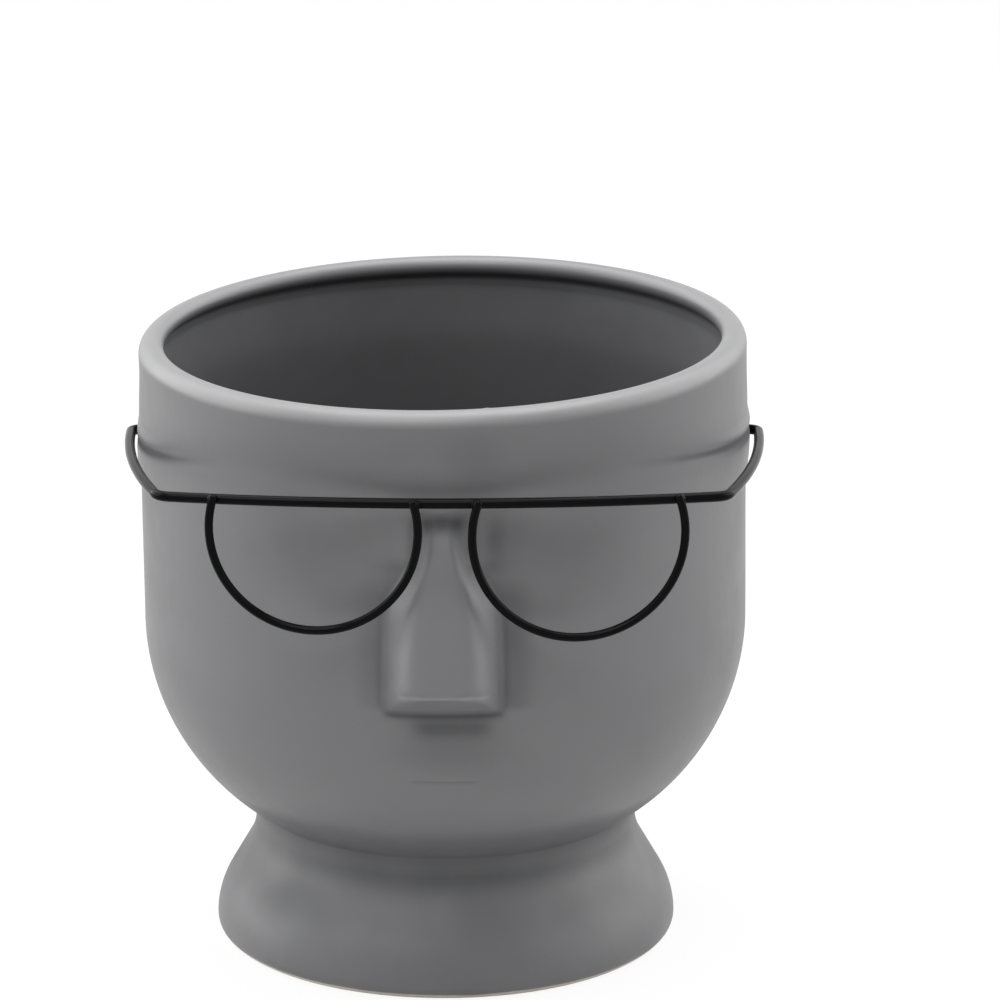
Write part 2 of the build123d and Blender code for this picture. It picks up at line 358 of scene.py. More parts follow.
@dataclass(frozen=True)
class SiliconeFinish(CoatFinish):
    """Soft dark grey silicone with a dusty, finely moulded skin."""

    name: str = "grey_silicone"
    colour: tuple = (0.055, 0.055, 0.058, 1.0)
    worn_colour: tuple = (0.085, 0.085, 0.088, 1.0)
    roughness: tuple = (0.56, 0.70)
    gloss: float = 0.5
    patch_scale: float = 120.0
    patch_detail: float = 4.0
    bump_scale: float = 1200.0
    bump_height: float = 0.015 * MM


# Geometry


def add_object(name: str, data: bpy.types.ID) -> Object:
    """Links a new object at the origin.

    Args:
        name: The object's name.
        data: Its mesh, lamp or camera.

    Returns:
        The object.
    """
    piece = bpy.data.objects.new(name, data)
    bpy.context.scene.collection.objects.link(piece)
    return piece


def line_object(name: str, points: Array, thickness: Array | None = None) -> Object:
    """Makes an object of vertices joined by edges, for a geometry tree to work on.

    Args:
        name: The object's name.
        points: The vertices in metres.
        thickness: A share of the full radius for each vertex, kept as an attribute.

    Returns:
        The object.
    """
    mesh = bpy.data.meshes.new(name)
    mesh.from_pydata([tuple(p) for p in points], [(i, i + 1) for i in range(len(points) - 1)], [])
    if thickness is not None:
        mesh.attributes.new("thickness", "FLOAT", "POINT").data.foreach_set("value", thickness)
    return add_object(name, mesh)


def bake(piece: Object, modifier: Modifier) -> Object:
    """Applies a piece's modifier, so that a plain mesh is left.

    Args:
        piece: The object.
        modifier: Its only modifier.

    Returns:
        The same object.
    """
    graph = bpy.context.evaluated_depsgraph_get()
    mesh = bpy.data.meshes.new_from_object(piece.evaluated_get(graph), depsgraph=graph)
    piece.modifiers.remove(modifier)
    piece.data = mesh
    mesh.name = piece.name
    return piece


def vectors(items: bpy.types.bpy_prop_collection, name: str) -> Array:
    """Reads a vector property of many items.

    Args:
        items: The mesh's vertices or normals.
        name: The property's name.

    Returns:
        One row per item.
    """
    values = np.zeros(len(items) * 3)
    items.foreach_get(name, values)
    return values.reshape(-1, 3)


class GeometryTree(Tree):
    """A geometry node group with named inputs, and how it is applied to an object."""

    def __init__(self, name: str, sizes: dict[str, float | int]) -> None:
        """Makes the group and its inputs.

        Args:
            name: The group's name.
            sizes: Each named number and its first value. A Material input is added to them.
        """
        group = bpy.data.node_groups.new(name, "GeometryNodeTree")
        group.interface.new_socket("Geometry", in_out="INPUT", socket_type="NodeSocketGeometry")
        for label, value in sizes.items():
            kind = "NodeSocketInt" if isinstance(value, int) else "NodeSocketFloat"
            group.interface.new_socket(label, in_out="INPUT", socket_type=kind).default_value = value
        group.interface.new_socket("Material", in_out="INPUT", socket_type="NodeSocketMaterial")
        group.interface.new_socket("Geometry", in_out="OUTPUT", socket_type="NodeSocketGeometry")
        super().__init__(group)
        self.given = self.add("NodeGroupInput").outputs
        self.result = self.add("NodeGroupOutput")

    def close(self, geometry: Socket) -> GeometryTree:
        """Ends the tree in Realize Instances, smooth shading and Set Material.

        Args:
            geometry: The finished geometry.

        Returns:
            The tree.
        """
        real = self.first("GeometryNodeRealizeInstances", {0: geometry})
        smooth = self.first("GeometryNodeSetShadeSmooth", {0: real})
        coat = {"Geometry": smooth, "Material": self.given["Material"]}
        self.tree.links.new(self.first("GeometryNodeSetMaterial", coat), self.result.inputs[0])
        return self

    def apply(self, piece: Object, values: dict[str, object]) -> Object:
        """Runs the tree on a piece and leaves a plain mesh.

        Args:
            piece: The object that carries the input mesh.
            values: A value for each named input.

        Returns:
            The same object, with the result as its mesh and no modifier.
        """
        modifier = piece.modifiers.new("shape", "NODES")
        modifier.node_group = self.tree
        for item in self.tree.interface.items_tree:
            if item.item_type == "SOCKET" and item.in_out == "INPUT" and item.name in values:
                modifier[item.identifier] = values[item.name]
        return bake(piece, modifier)


def wire_tree() -> GeometryTree:
    """Builds the tree that draws a round wire along a line of vertices.

    Returns:
        The tree.
    """
    tree = GeometryTree("bent_wire", {"Wire Radius": 1.0 * MM, "Sides": 20})
    curve = tree.first("GeometryNodeMeshToCurve", {0: tree.given["Geometry"]})
    share = tree.first("GeometryNodeInputNamedAttribute", {"Name": "thickness"}, data_type="FLOAT")
    curve = tree.first("GeometryNodeSetCurveRadius", {"Curve": curve, "Radius": share})
    size = {"Resolution": tree.given["Sides"], "Radius": tree.given["Wire Radius"]}
    ring = tree.first("GeometryNodeCurvePrimitiveCircle", size)
    sweep = tree.add("GeometryNodeCurveToMesh", {"Curve": curve, "Profile Curve": ring, "Fill Caps": True})
    if "Scale" in sweep.inputs:
        tree.tree.links.new(share, sweep.inputs["Scale"])
    return tree.close(sweep.outputs[0])


def turned_tree() -> GeometryTree:
    """Builds the tree that turns a closed outline about the Z axis.

    The input's vertices give the outline as X for the radius and Z for the height. Steps lie closer
    together at the front by the Front Density share.

    Returns:
        The tree.
    """
    tree = GeometryTree("turned_body", {"Rows": 10, "Steps": 64, "Front Density": 0.0})
    math_of, rows, steps = tree.math, tree.given["Rows"], tree.given["Steps"]
    around = math_of("ADD", steps, 1.0)
    grid = tree.first("GeometryNodeMeshGrid", {"Vertices X": around, "Vertices Y": rows})
    index = tree.first("GeometryNodeInputIndex")
    step = math_of("FLOOR", math_of("DIVIDE", math_of("ADD", index, 0.5), rows))
    turn = math_of("MULTIPLY", math_of("DIVIDE", step, steps), 2.0 * math.pi)
    turn = math_of("SUBTRACT", turn, math_of("MULTIPLY", math_of("SINE", turn), tree.given["Front Density"]))
    sample = {
        "Geometry": tree.given["Geometry"],
        "Value": tree.first("GeometryNodeInputPosition"),
        "Index": math_of("MODULO", index, rows),
    }
    sample = tree.first("GeometryNodeSampleIndex", sample, data_type="FLOAT_VECTOR")
    outline = tree.add("ShaderNodeSeparateXYZ", {0: sample}).outputs
    across = math_of("MULTIPLY", outline["X"], math_of("SINE", turn))
    along = math_of("MULTIPLY", outline["X"], math_of("MULTIPLY", math_of("COSINE", turn), -1.0))
    spot = tree.first("ShaderNodeCombineXYZ", {0: across, 1: along, 2: outline["Z"]})
    shaped = tree.first("GeometryNodeSetPosition", {"Geometry": grid, "Position": spot})
    merge = {"Geometry": shaped, "Distance": 0.0001 * MM}
    return tree.close(tree.first("GeometryNodeMergeByDistance", merge))


def turned_piece(name: str, rows: Array, values: dict[str, object]) -> Object:
    """Turns a closed outline in millimetres about the Z axis, with values for the tree's named inputs."""
    piece = line_object(name, np.insert(rows, 1, 0.0, axis=1) * MM)
    return turned_tree().apply(piece, {"Rows": len(rows), **values})


def bead_tree() -> GeometryTree:
    """Builds the tree that sets a lumpy bead of weld at each vertex.

    Returns:
        The tree.
    """
    tree = GeometryTree("weld_bead", {"Bead Radius": 1.5 * MM, "Lump Height": 0.2 * MM, "Seed": 4.0})
    ball = tree.first("GeometryNodeMeshIcoSphere", {"Radius": tree.given["Bead Radius"], "Subdivisions": 4})
    beads = {"Points": tree.given["Geometry"], "Instance": ball, "Scale": (1.0, 0.86, 1.0)}
    beads = tree.first("GeometryNodeInstanceOnPoints", beads)
    real = tree.first("GeometryNodeRealizeInstances", {0: beads})
    grain = {"W": tree.given["Seed"], "Scale": 520.0, "Detail": 1.0}
    noise = tree.first("ShaderNodeTexNoise", grain, noise_dimensions="4D")
    lump = tree.math("MULTIPLY", tree.math("SUBTRACT", noise, 0.55), tree.given["Lump Height"])
    push = {0: tree.first("GeometryNodeInputNormal"), "Scale": lump}
    push = tree.first("ShaderNodeVectorMath", push, operation="SCALE")
    return tree.close(tree.first("GeometryNodeSetPosition", {"Geometry": real, "Offset": push}))


# The glazed pot


@dataclass
class HeadPot:
    """The cast shell of the pot: head, nose, brow, mouth and foot. Sizes are in millimetres."""

    finish: GlazeFinish
    head_radius: float = 90.0
    foot_radius: float = 69.0
    waist_radius: float = 57.4
    foot_edge: float = 4.5
    flare_radius: float = 26.0
    cove_radius: float = 16.5
    flare_angle: float = 30.0
    neck_height: float = 4.8
    bowl_radius: float = 69.2
    straight_height: float = 86.5
    wall: float = 6.5
    lip_width: float = 7.5
    lip_bead: float = 2.9
    lip_shoulder: float = 4.4
    lip_undercut: float = 1.7
    floor_height: float = 11.0
    recess_depth: float = 4.0
    ring_width: float = 7.0
    drain_radius: float = 8.0
    temple_depth: float = 30.5
    hole_radius: float = 2.0
    lip_slope: float = 0.0185
    lean: float = 0.6
    nose_reach: float = 15.8
    nose_top: float = 157.3
    nose_length: float = 51.3
    nose_patch: float = 27.0
    root_place: float = 0.6
    root_height: float = 154.9
    mouth_height: float = 74.0
    temple_limit: float = 91.1
    steps: int = 256
    front_density: float = 0.62

    def __post_init__(self) -> None:
        """Works out the heights that follow from the sizes."""
        slope = math.radians(self.flare_angle)
        arcs = (self.flare_radius + self.cove_radius) * (1 - math.cos(slope))
        run = (self.foot_radius - self.waist_radius - arcs) / math.sin(slope)
        rise = (self.flare_radius + self.cove_radius) * math.sin(slope) + run * math.cos(slope)
        self.cove_top = self.foot_edge + rise
        self.bowl_centre = self.head_radius - self.bowl_radius
        drop = math.sqrt(self.bowl_radius**2 - (self.waist_radius - self.bowl_centre) ** 2)
        self.bowl_height = self.cove_top + self.neck_height + drop
        self.height = self.bowl_height + self.straight_height
        self.temple_height = self.height - self.temple_depth

    def wall_line(self, inset: float) -> list:
        """Points of the wall's side, moved inwards by an inset, from the foot up to the lip's base.

        Args:
            inset: How far inside the outer face.

        Returns:
            The points, as radius and height.
        """
        slope = self.flare_angle
        flare_centre = (self.foot_radius - self.flare_radius, self.foot_edge)
        cove_centre = (self.waist_radius + self.cove_radius, self.cove_top)
        bowl = self.bowl_radius - inset
        turn = math.degrees(math.acos((self.waist_radius - inset - self.bowl_centre) / bowl))
        points = arc_points(flare_centre, self.flare_radius - inset, 0, slope)
        points += arc_points(cove_centre, self.cove_radius + inset, 180 + slope, 180)
        return points + arc_points((self.bowl_centre, self.bowl_height), bowl, -turn, 0)

    def outline(self) -> Array:
        """The closed outline of the shell, from the drain up the inside, over the lip and down.

        Returns:
            The rows, as radius and height, with the first repeated at the end.
        """
        inner, top, recess = self.head_radius - self.wall, self.height, self.recess_depth
        tuck = inner + self.lip_undercut
        floor = [(self.drain_radius, self.floor_height)]
        side = [p for p in self.wall_line(self.wall) if p[1] > self.floor_height]
        rise = [(inner, top - 24.0), (tuck - 0.2, top - 8.2), (tuck, top - 6.4)]
        bead = (self.head_radius - self.lip_width + self.lip_bead, top - self.lip_bead)
        shoulder = (self.head_radius - self.lip_shoulder, top - self.lip_shoulder)
        crown = arc_points(bead, self.lip_bead, 235, 90) + arc_points(shoulder, self.lip_shoulder, 90, 0)
        heel = self.foot_radius - self.foot_edge
        edge = arc_points((heel, self.foot_edge), self.foot_edge, 0, -90)
        ring = heel - self.ring_width
        under = [(ring, 0.0), (ring, recess), (self.drain_radius, recess)]
        raw = np.array(floor + side + rise + crown + self.wall_line(0)[::-1] + edge + under + floor)
        crisp, soft = rounded(raw, 0.45), rounded(raw, 2.6)
        radius, height = crisp.T
        inside = (radius < self.outer_radius(height) - self.wall * 0.6) & (height > 5.0)
        low = inside * ramp(height, 160.0, 145.0) * ramp(radius, 12.0, 22.0)
        return resample(crisp + (soft - crisp) * low[:, None], self.row_spacing)

    def outer_radius(self, heights: Array) -> Array:
        """The radius of the plain outer face at each height."""
        radius, height = np.array(self.wall_line(0)).T
        return np.interp(heights, height, radius)

    def row_spacing(self, at: Array) -> Array:
        """How far apart the outline's rows lie, finer where the face has its features.

        Args:
            at: Points of the outline.

        Returns:
            The spacing at each.
        """
        radius, height = at.T
        outside = radius > self.outer_radius(height) - self.wall * 0.4
        gap = np.where(outside, 1.6, 3.4)
        face = ((92.0, 112.0, 0.55), (112.0, 148.0, 1.0), (148.0, 169.0, 0.5), (71.0, 77.0, 0.45))
        for low, high, fine in (*face, (38.0, 44.5, 0.6), (-1.0, 6.0, 0.6)):
            gap = np.where(outside & (height > low) & (height < high), fine, gap)
        gap = np.where(height > self.height - 11.0, 0.5, gap)
        gap = np.where((height < self.recess_depth + 2.0) & ~outside, 1.8, gap)
        return np.where(radius < self.drain_radius + 2.0, 0.7, gap)

    # The face's forms, as shifts of the plain wall

    def crease_height(self, across: Array, turn: Array) -> Array:
        """The height of the brow's lower edge: low at the temples, highest over the eyes, low at the nose.

        Args:
            across: X of each point.
            turn: Angle from the front, in radians.

        Returns:
            The height at each.
        """
        forward = self.head_radius * np.maximum(np.cos(turn), 0.0)
        left = soft_min(self.root_height + 0.0021 * forward**2, 165.0, 3.0)
        right = soft_min(157.4 + 0.0016 * forward**2, 166.5, 3.0)
        flat = left + (right - left) * ramp(across, -25.0, 25.0)
        return flat - (flat - self.root_height) * ramp(np.abs(across - self.root_place), 24.0, 8.0)

    def temple_share(self, turn: Array) -> Array:
        """How strong the brow's crease is: full at the temples, gone over the eyes, longer on the right."""
        return np.where(turn < 0, ramp(-turn, 0.74, 1.25), ramp(turn, 0.56, 1.25))

    def face_relief(self, across: Array, turn: Array, height: Array, depth: Array) -> Array:
        """The brow's edge, deepest at the temples and the nose's root, the eyes' hollows and the mouth.

        Args:
            across: X of each point.
            turn: Angle from the front, in radians.
            height: Z of each point.
            depth: Height above the brow's lower edge.

        Returns:
            The radial shift at each.
        """
        around, temple = np.abs(turn), self.temple_share(turn)
        root = ramp(np.abs(across - self.root_place), 9.6, 6.4)
        brow = 0.40 * window(depth, -6.0, 5.0, 6.0, 24.0) - 0.85 * temple * hump(depth, 0.5, 1.2)
        brow -= 0.30 * temple * window(depth, -11.0, -1.5, -1.0, 0.5)
        brow -= 0.5 * root * window(depth, -8.0, -1.3, -0.7, 1.2)
        brow += 1.35 * ramp(around, 1.02, 1.38) * window(depth, -17.0, -3.2, -0.5, 6.8)
        hollows = ((0.75, -33.0, 17.0, 148.0, 11.0), (0.45, -18.0, 6.0, 150.0, 8.0))
        hollows += ((0.75, 34.0, 17.0, 148.0, 11.0), (0.45, 18.5, 6.0, 150.0, 8.0))
        line = self.mouth_height - 0.06 * (1.0 - (across / 11.0) ** 2)
        mouth = 0.19 * hump(height, line, 0.6) * ramp(np.abs(across), 11.2, 7.5)
        front = np.cos(turn) > 0.3
        return ramp(around, 1.95, 1.66) * brow - front * (spots(across, height, hollows) + mouth)

    def hand_relief(self, turn: Array, height: Array) -> Array:
        """The slightly uneven wall of a hand-finished pot.

        Args:
            turn: Angle from the front, in radians.
            height: Z of each point.

        Returns:
            The radial shift at each.
        """
        waves = ((0.10, 2, 0.7, 31.0, 0.0), (0.10, 5, 2.1, 19.0, 1.0), (0.05, 9, 0.4, 12.0, 0.0))
        hand = sum(
            size * np.sin(folds * turn + start) * np.sin(height / pitch + phase)
            for size, folds, start, pitch, phase in waves
        )
        return (hand - 0.25) * window(height, 4.0, 20.0, 172.0, 184.0)

    def nose_half_widths(self, height: Array) -> tuple[Array, Array]:
        """Half the width of the nose's front and of its base.

        Args:
            height: Z of each point.

        Returns:
            The two half widths.
        """
        levels = (106.0, 115.0, 124.0, 129.5, 132.0, 136.5, 141.0, 145.5, 150.0, 158.0)
        front = (13.1, 13.05, 12.5, 11.4, 10.5, 8.6, 6.4, 4.6, 3.5, 3.1)
        base = (17.0, 17.0, 17.0, 16.8, 16.3, 15.1, 14.0, 13.3, 12.8, 12.0)
        fine = np.linspace(levels[0], levels[-1], 105)
        lines = at_marks(fine, levels, np.array([front, base]).T)
        lines = np.pad(lines, ((12, 12), (0, 0)), mode="edge")
        soft = running_mean(lines, hump(np.linspace(-3.0, 3.0, 25), 0.0, 1.4))
        return np.interp(height, fine, soft[:, 0]), np.interp(height, fine, soft[:, 1])

    def nose_depth(self, across: Array, height: Array) -> Array:
        """How far the nose stands proud: a flat front with long rounded edges, two flanks and an underside.

        Args:
            across: X of each point.
            height: Z of each point.

        Returns:
            The distance forward of the plain face.
        """
        front, base = self.nose_half_widths(height)
        side = np.abs(across)
        upper, high = ramp(height, 128.0, 148.0), ramp(height, 137.0, 148.0)
        length = np.hypot(np.clip((self.nose_top - height) / self.nose_length, 0.0, 1.0), 0.045)
        rise = (self.nose_reach + 0.9) * length**0.80 - 0.9 - np.maximum(height - self.nose_top, 0.0) * 3.0
        rise = rise + 0.35 * upper * ramp(height, 159.0, 153.0)
        fall = np.clip((0.34 - 0.22 * high) * rise, 0.0, 2.9) + 1.2 * ramp(height, 132.0, 118.0)
        flat = 0.42 + 0.18 * high
        ridge = rise - fall * np.clip((side / front - flat) / (1.0 - flat), 0.0, 2.0) ** 2
        share = np.clip((base - side) / (base - front), -1.0, 3.0)
        flank = np.maximum(rise - fall, 0.0) * np.sign(share) * np.abs(share) ** (1.0 + 3.2 * upper)
        under = (self.nose_reach + 0.6) * (height - 96.9) / 9.6
        edge = 1.2 + 3.8 * ramp(height, 142.0, 122.0) * ramp(side, 4.0, 9.0)
        solid = soft_min(ridge, soft_min(flank, under, 7.0), edge)
        strip = 0.85 * hump(side, 10.0, 2.5) * upper * ramp(height, 157.0, 153.0)
        dip = 0.40 * hump(side, 5.6, 1.7) * upper * ramp(height, 151.0, 146.0)
        return strip - dip - soft_min(-solid, 0.0, 1.5)

    def column_place(self, turn: Array, height: Array) -> Array:
        """Gathers the front's columns at the nose's edges, so that they stay crisp.

        Args:
            turn: The even angle from the front of each vertex, in radians.
            height: Z of each vertex.

        Returns:
            X on the plain face, or the even place outside the nose's patch.
        """
        even = self.head_radius * turn
        share = np.abs(even) / self.nose_patch
        front, base = self.nose_half_widths(height)
        calm = window(height, 90.0, 100.0, 158.0, 172.0)
        front, base = 10.5 + (front - 10.5) * calm, 16.5 + (base - 16.5) * calm
        flank = base - front
        marks = (0.0, 0.24, 0.34, 0.40, 0.58, 0.66, 0.76, 1.0)
        stops = (0.0, front - np.minimum(2.0, 0.45 * front), front + 0.15 * flank, front + 0.35 * flank)
        stops += (base - 0.30 * flank, base + 0.6, base + 2.6, self.nose_patch)
        placed = np.zeros_like(front)
        for low, high, near, far in zip(marks, marks[1:], stops, stops[1:]):
            placed += (far - near) * np.clip((share - low) / (high - low), 0.0, 1.0)
        return np.where(share < 1.0, np.sign(even) * placed, even)

    def sculpt(self, piece: Object) -> None:
        """Shapes the turned shell into the head and marks how thick its glaze lies, with painted highlights
        and painted shade in the same mark.

        Args:
            piece: The turned shell.
        """
        mesh = piece.data
        mesh.flip_normals()
        place = vectors(mesh.vertices, "co") / MM
        radius, level = np.hypot(place[:, 0], place[:, 1]), place[:, 2]
        turn = np.arctan2(place[:, 0], -place[:, 1])
        outside = radius > self.outer_radius(level) - 0.5 * self.wall
        near = np.abs(turn) * self.head_radius < self.nose_patch
        below_lip = outside & (level < self.height - 1.0)
        gathered = self.column_place(turn, level) / self.head_radius
        angle = np.where(below_lip & (level > 45.0) & near, gathered, turn)
        across = radius * np.sin(angle)
        depth = level - self.crease_height(across, angle)
        relief = (below_lip & (level > 60.0)) * self.face_relief(across, angle, level, depth)
        final = radius + relief + self.hand_relief(angle, level)
        x, y = final * np.sin(angle), -final * np.cos(angle)
        nose = below_lip & near & (level > 92.0) & (level < 166.0)
        y[nose] -= self.nose_depth(x[nose], level[nose])
        height = level + self.lip_slope * x * ramp(level, self.height - 16.0, self.height)
        x = x - self.lean * ramp(height, 100.0, self.height)
        flattened = np.sign(x) * soft_min(np.abs(x), self.temple_limit, 0.4)
        x = np.where((height > 130.0) & (height < 165.0) & outside, flattened, x)
        nick = 0.35 * hump(x, 12.5, 1.0) * hump(y, -82.9, 1.0) * (height > self.height - 6.0)
        moved = np.stack([x, y + nick, height + 0.3 * nick], axis=1)
        mesh.vertices.foreach_set("co", (moved * MM).ravel())
        # Curvature gives thin and pooled glaze, and with it painted highlights on edges and painted shade in
        # creases.
        curve = self.glaze_break(mesh)
        plain = (level < 172.0) & ((np.abs(depth) < 6.0) | (near & (level > 142.0)))
        curve = np.where(outside & (plain | (level < 50.0)), 0.0, curve)
        curve = np.where(outside & near & (level > 90.0) & (level < 160.0), np.clip(curve, -0.25, 0.0), curve)
        # Painted highlight on the lip, partly glaze thinning over its edge; weaker towards the back.
        down = self.height - level
        rim = np.where(outside, ramp(down, 5.6, 2.2), ramp(down, 2.6, 0.3))
        rim = (0.95 - 0.3 * ramp(-np.cos(turn), 0.3, 0.9)) * rim
        curve = np.where(down < 7.0, rim, curve)
        curve -= np.where(outside, self.pooled_glaze_and_painted_light(across, angle, level, depth), 0.0)
        # Painted shade under the lip's inner edge and deepening down the inside wall.
        shade = 1.4 * hump(down, 6.2, 2.0) * (radius > 60.0) + 0.60 * ramp(down, 3.0, 9.0)
        curve -= np.where(~outside & (level > self.floor_height - 1.0), shade, 0.0)
        glaze = mesh.attributes.new("glaze_break", "FLOAT", "POINT")
        glaze.data.foreach_set("value", curve.astype(np.float32))
        mesh.update()

    def pooled_glaze_and_painted_light(self, across: Array, turn: Array, height: Array, depth: Array) -> Array:
        """Painted shade and shadows, with pooled glaze in the temples' crease: round the nose, the eyes, the
        neck and the foot, and a painted highlight on the nose's bottom edge.

        Args:
            across: X of each point.
            turn: Angle from the front, in radians.
            height: Z of each point.
            depth: Height above the brow's lower edge.

        Returns:
            How much darker each point is painted, as pooled glaze and painted shade; below 0 for the painted
            highlight.
        """
        around, side = np.abs(turn), np.abs(across - 0.2)
        front, base = self.nose_half_widths(height)
        # Partly glaze pooled in the temples' groove, partly a painted dark crease line.
        crease = 1.2 * self.temple_share(turn) * ramp(around, 1.95, 1.66) * hump(depth, 0.5, 1.5)
        # Painted shadow of the bar and brow at the nose's root.
        nose = 0.6 * ramp(np.abs(across - self.root_place), 8.5, 4.5) * hump(height, 154.0, 2.8)
        # Painted shadows of the lens rims on the nose's flanks.
        nose += 0.4 * window(height, 133.0, 141.0, 152.0, 157.0) * hump(side, front + 0.6, 1.7)
        # Painted shade round the nose's base, darker on its right, shadowed side.
        foot = 0.10 * hump(side, base + 0.8, 1.5)
        foot += (0.26 + 0.20 * ramp(across, -1.0, 1.0)) * hump(side, base + 4.0, 4.5)
        nose += window(height, 95.5, 99.0, 130.0, 138.0) * foot
        # Painted shadow cast by the nose, and painted shade over the floor's reflection at its base.
        nose += 0.66 * ramp(np.abs(across - 2.5), 14.5, 7.0) * hump(height, 92.0, 3.2)
        nose += 0.55 * ramp(side, 19.0, 16.0) * hump(height, 95.8, 1.3)
        # Painted highlight along the nose's bottom edge.
        edge = 106.2 - 1.5 * np.minimum(side / 13.0, 1.0) ** 2
        nose -= 0.8 * ramp(side, 14.5, 12.0) * hump(height, edge, 0.8)
        # Painted shade over the eyes, at the nose's root, below the nose and down the forehead.
        socket = 0.2 * hump(side, 34.0, 22.0) * hump(height, 144.0, 13.0)
        soft = ((0.30, 0.2, 2.6, 153.4, 2.8), (0.35, 15.5, 3.0, 148.0, 7.0), (0.28, 17.0, 9.0, 149.0, 12.0))
        soft += ((0.25, 1.0, 19.0, 84.0, 7.0), (0.17, 9.0, 9.0, 173.0, 12.0))
        # Painted shade under the bowl, in the neck and on the foot, more on the foot's left.
        neck = 0.34 * window(height, 36.0, 40.0, 49.0, 56.0) + 0.10 * hump(height, 40.6, 1.5)
        neck += 0.55 * (1.0 - 0.6 * ramp(around, 0.4, 1.0)) * hump(height, 34.6, 4.0)
        neck += 0.30 * window(-turn, 0.35, 0.75, 1.7, 2.2) * hump(height, 23.0, 10.0)
        neck += 0.32 * hump(height, 21.0, 12.0)
        return crease + ramp(np.cos(turn), 0.1, 0.3) * (nose + socket + spots(across, height, soft)) + neck

    def glaze_break(self, mesh: Mesh) -> Array:
        """Measures how the surface curves, for glaze that thins on edges and pools in creases, which also
        paints highlights on edges and shade in creases.

        Args:
            mesh: The sculpted mesh.

        Returns:
            About 1 on a sharp edge, 0 where it is flat and -1 in a crease.
        """
        mesh.update()
        place, normal = vectors(mesh.vertices, "co"), vectors(mesh.vertex_normals, "vector")
        count = len(place)
        ends = np.zeros(len(mesh.edges) * 2, dtype=int)
        mesh.edges.foreach_get("vertices", ends)
        first, second = ends.reshape(-1, 2).T
        along = place[second] - place[first]
        length = np.linalg.norm(along, axis=1) + 1e-9
        bend = np.einsum("ij,ij->i", normal[second] - normal[first], along) / length**2

        def gather(to_first: Array, to_second: Array) -> Array:
            """Adds up, at each vertex, what its edges give to their two ends."""
            return np.bincount(first, to_first, count) + np.bincount(second, to_second, count)

        curve = gather(bend * length, bend * length) / np.maximum(gather(length, length), 1e-9)
        links = np.maximum(gather(np.ones_like(length), np.ones_like(length)), 1)
        for _ in range(3):
            curve = 0.5 * curve + 0.5 * gather(curve[second], curve[first]) / links
        return np.clip((curve - 12.0) / 260.0, -1.0, 1.0)

    def pierce(self, piece: Object) -> None:
        """Cuts the two temple holes that the spectacles hook into.

        Args:
            piece: The sculpted shell.
        """
        size, reach, middle = 32, self.head_radius + 4.0, self.temple_height
        turns = np.linspace(0, 2 * math.pi, size + 1)[:-1]
        ring = [(self.hole_radius * math.cos(a), self.hole_radius * math.sin(a) + middle) for a in turns]
        verts = [(x * MM, y * MM, z * MM) for x in (-reach, reach) for y, z in ring]
        faces = [(i, (i + 1) % size, size + (i + 1) % size, size + i) for i in range(size)]
        faces += [tuple(range(size - 1, -1, -1)), tuple(range(size, 2 * size))]
        mesh = bpy.data.meshes.new("hole_cutter")
        mesh.from_pydata(verts, [], faces)
        cutter = add_object("hole_cutter", mesh)
        cut = piece.modifiers.new("holes", "BOOLEAN")
        cut.operation = "DIFFERENCE"
        cut.solver = "EXACT"
        cut.object = cutter
        bake(piece, cut)
        bpy.data.objects.remove(cutter)
        piece.data.set_sharp_from_angle(angle=math.radians(50))

    def build(self) -> Object:
        """Makes the pot and puts it in the place of the solid.

        Returns:
            The finished piece.
        """
        rows = self.outline()
        values = {"Steps": self.steps, "Front Density": self.front_density}
        piece = turned_piece("glazed_head", rows, values | {"Material": self.finish.material()})
        self.sculpt(piece)
        self.pierce(piece)
        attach(piece, Body.POT.value)
        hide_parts("head_pot")
        LOG.info("glazed_head: %d rows, %d faces", len(rows), len(piece.data.polygons))
        return piece


# The spectacles


